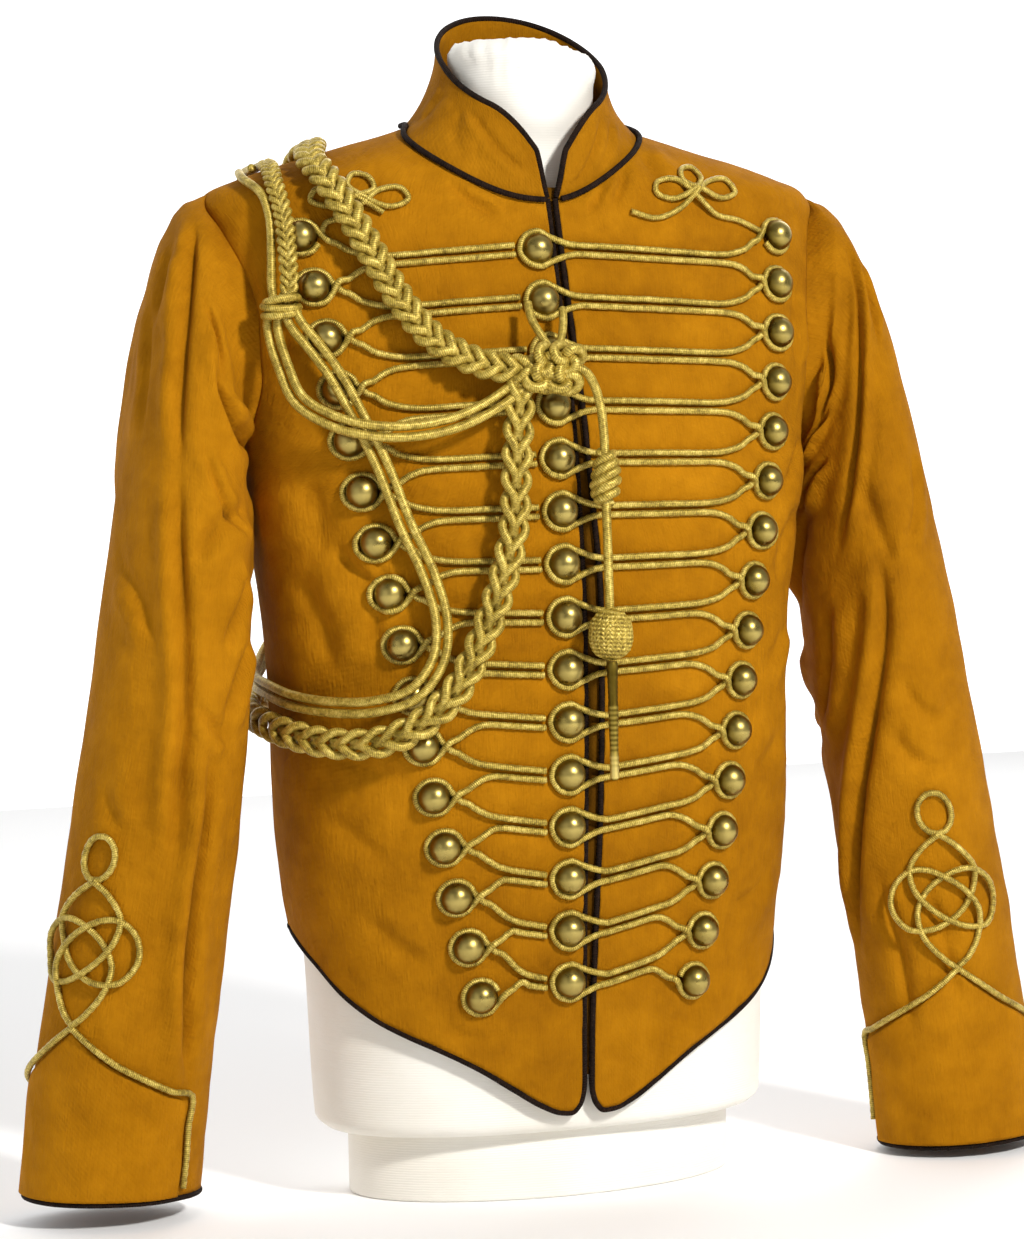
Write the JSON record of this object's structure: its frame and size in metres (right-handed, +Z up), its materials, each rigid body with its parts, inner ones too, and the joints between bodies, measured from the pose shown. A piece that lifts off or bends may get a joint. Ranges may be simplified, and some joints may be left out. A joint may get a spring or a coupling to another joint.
{
  "type": "hussar jacket on a dress form",
  "caption": "Short-waisted hussar jacket with gold cord frogging, domed buttons, stand collar, cuff knots and an aiguillette, shown on a limbless dress form.",
  "frame": {"origin": "centre of the underside of the dress form's foot, at the height it stands on", "axes": "+X to the wearer's left, -Y to the front, +Z up along the body"},
  "size_m": [0.718, 0.274, 0.7876],
  "materials": {
    "ochre_cloth": "matt woven cotton",
    "dark_piping": "matt",
    "gold_cord": "twisted metallic thread, soft sheen",
    "aged_brass": "antique, worn on the domes",
    "form_cloth": "smooth cotton jersey"
  },
  "bodies": {
    "root": {"front_right": "ochre_cloth", "front_left": "ochre_cloth", "back": "ochre_cloth", "underlap": "ochre_cloth", "sleeve_right": "ochre_cloth", "sleeve_left": "ochre_cloth", "cuff_right": "ochre_cloth", "cuff_left": "ochre_cloth", "collar": "ochre_cloth", "cuff_piping_right": "dark_piping", "cuff_piping_left": "dark_piping", "collar_piping": "dark_piping", "neck_piping": "dark_piping", "edge_piping_right": "dark_piping", "edge_piping_left": "dark_piping", "back_hem_piping": "dark_piping", "frogging_right": "gold_cord", "frogging_left": "gold_cord", "cuff_knot_right": "gold_cord", "cuff_knot_left": "gold_cord", "button_01": "aged_brass", "button_02": "aged_brass", "button_03": "aged_brass", "button_04": "aged_brass", "button_05": "aged_brass", "button_06": "aged_brass", "button_07": "aged_brass", "button_08": "aged_brass", "button_09": "aged_brass", "button_10": "aged_brass", "button_11": "aged_brass", "button_12": "aged_brass", "button_13": "aged_brass", "button_14": "aged_brass", "button_15": "aged_brass", "plait_chest": "gold_cord", "plait_under_arm": "gold_cord", "plait_knot": "gold_cord", "shoulder_cord": "gold_cord", "shoulder_plait": "gold_cord", "shoulder_knot": "gold_cord", "hanging_cord_1": "gold_cord", "hanging_cord_2": "gold_cord", "swung_cord_1": "gold_cord", "swung_cord_2": "gold_cord", "pencil_cord": "gold_cord", "pencil_wrap": "gold_cord", "pencil_tail": "gold_cord", "pencil_ball": "gold_cord", "pencil_tip": "aged_brass", "dress_form": "form_cloth", "form_base": "form_cloth"}
  },
  "joints": []
}
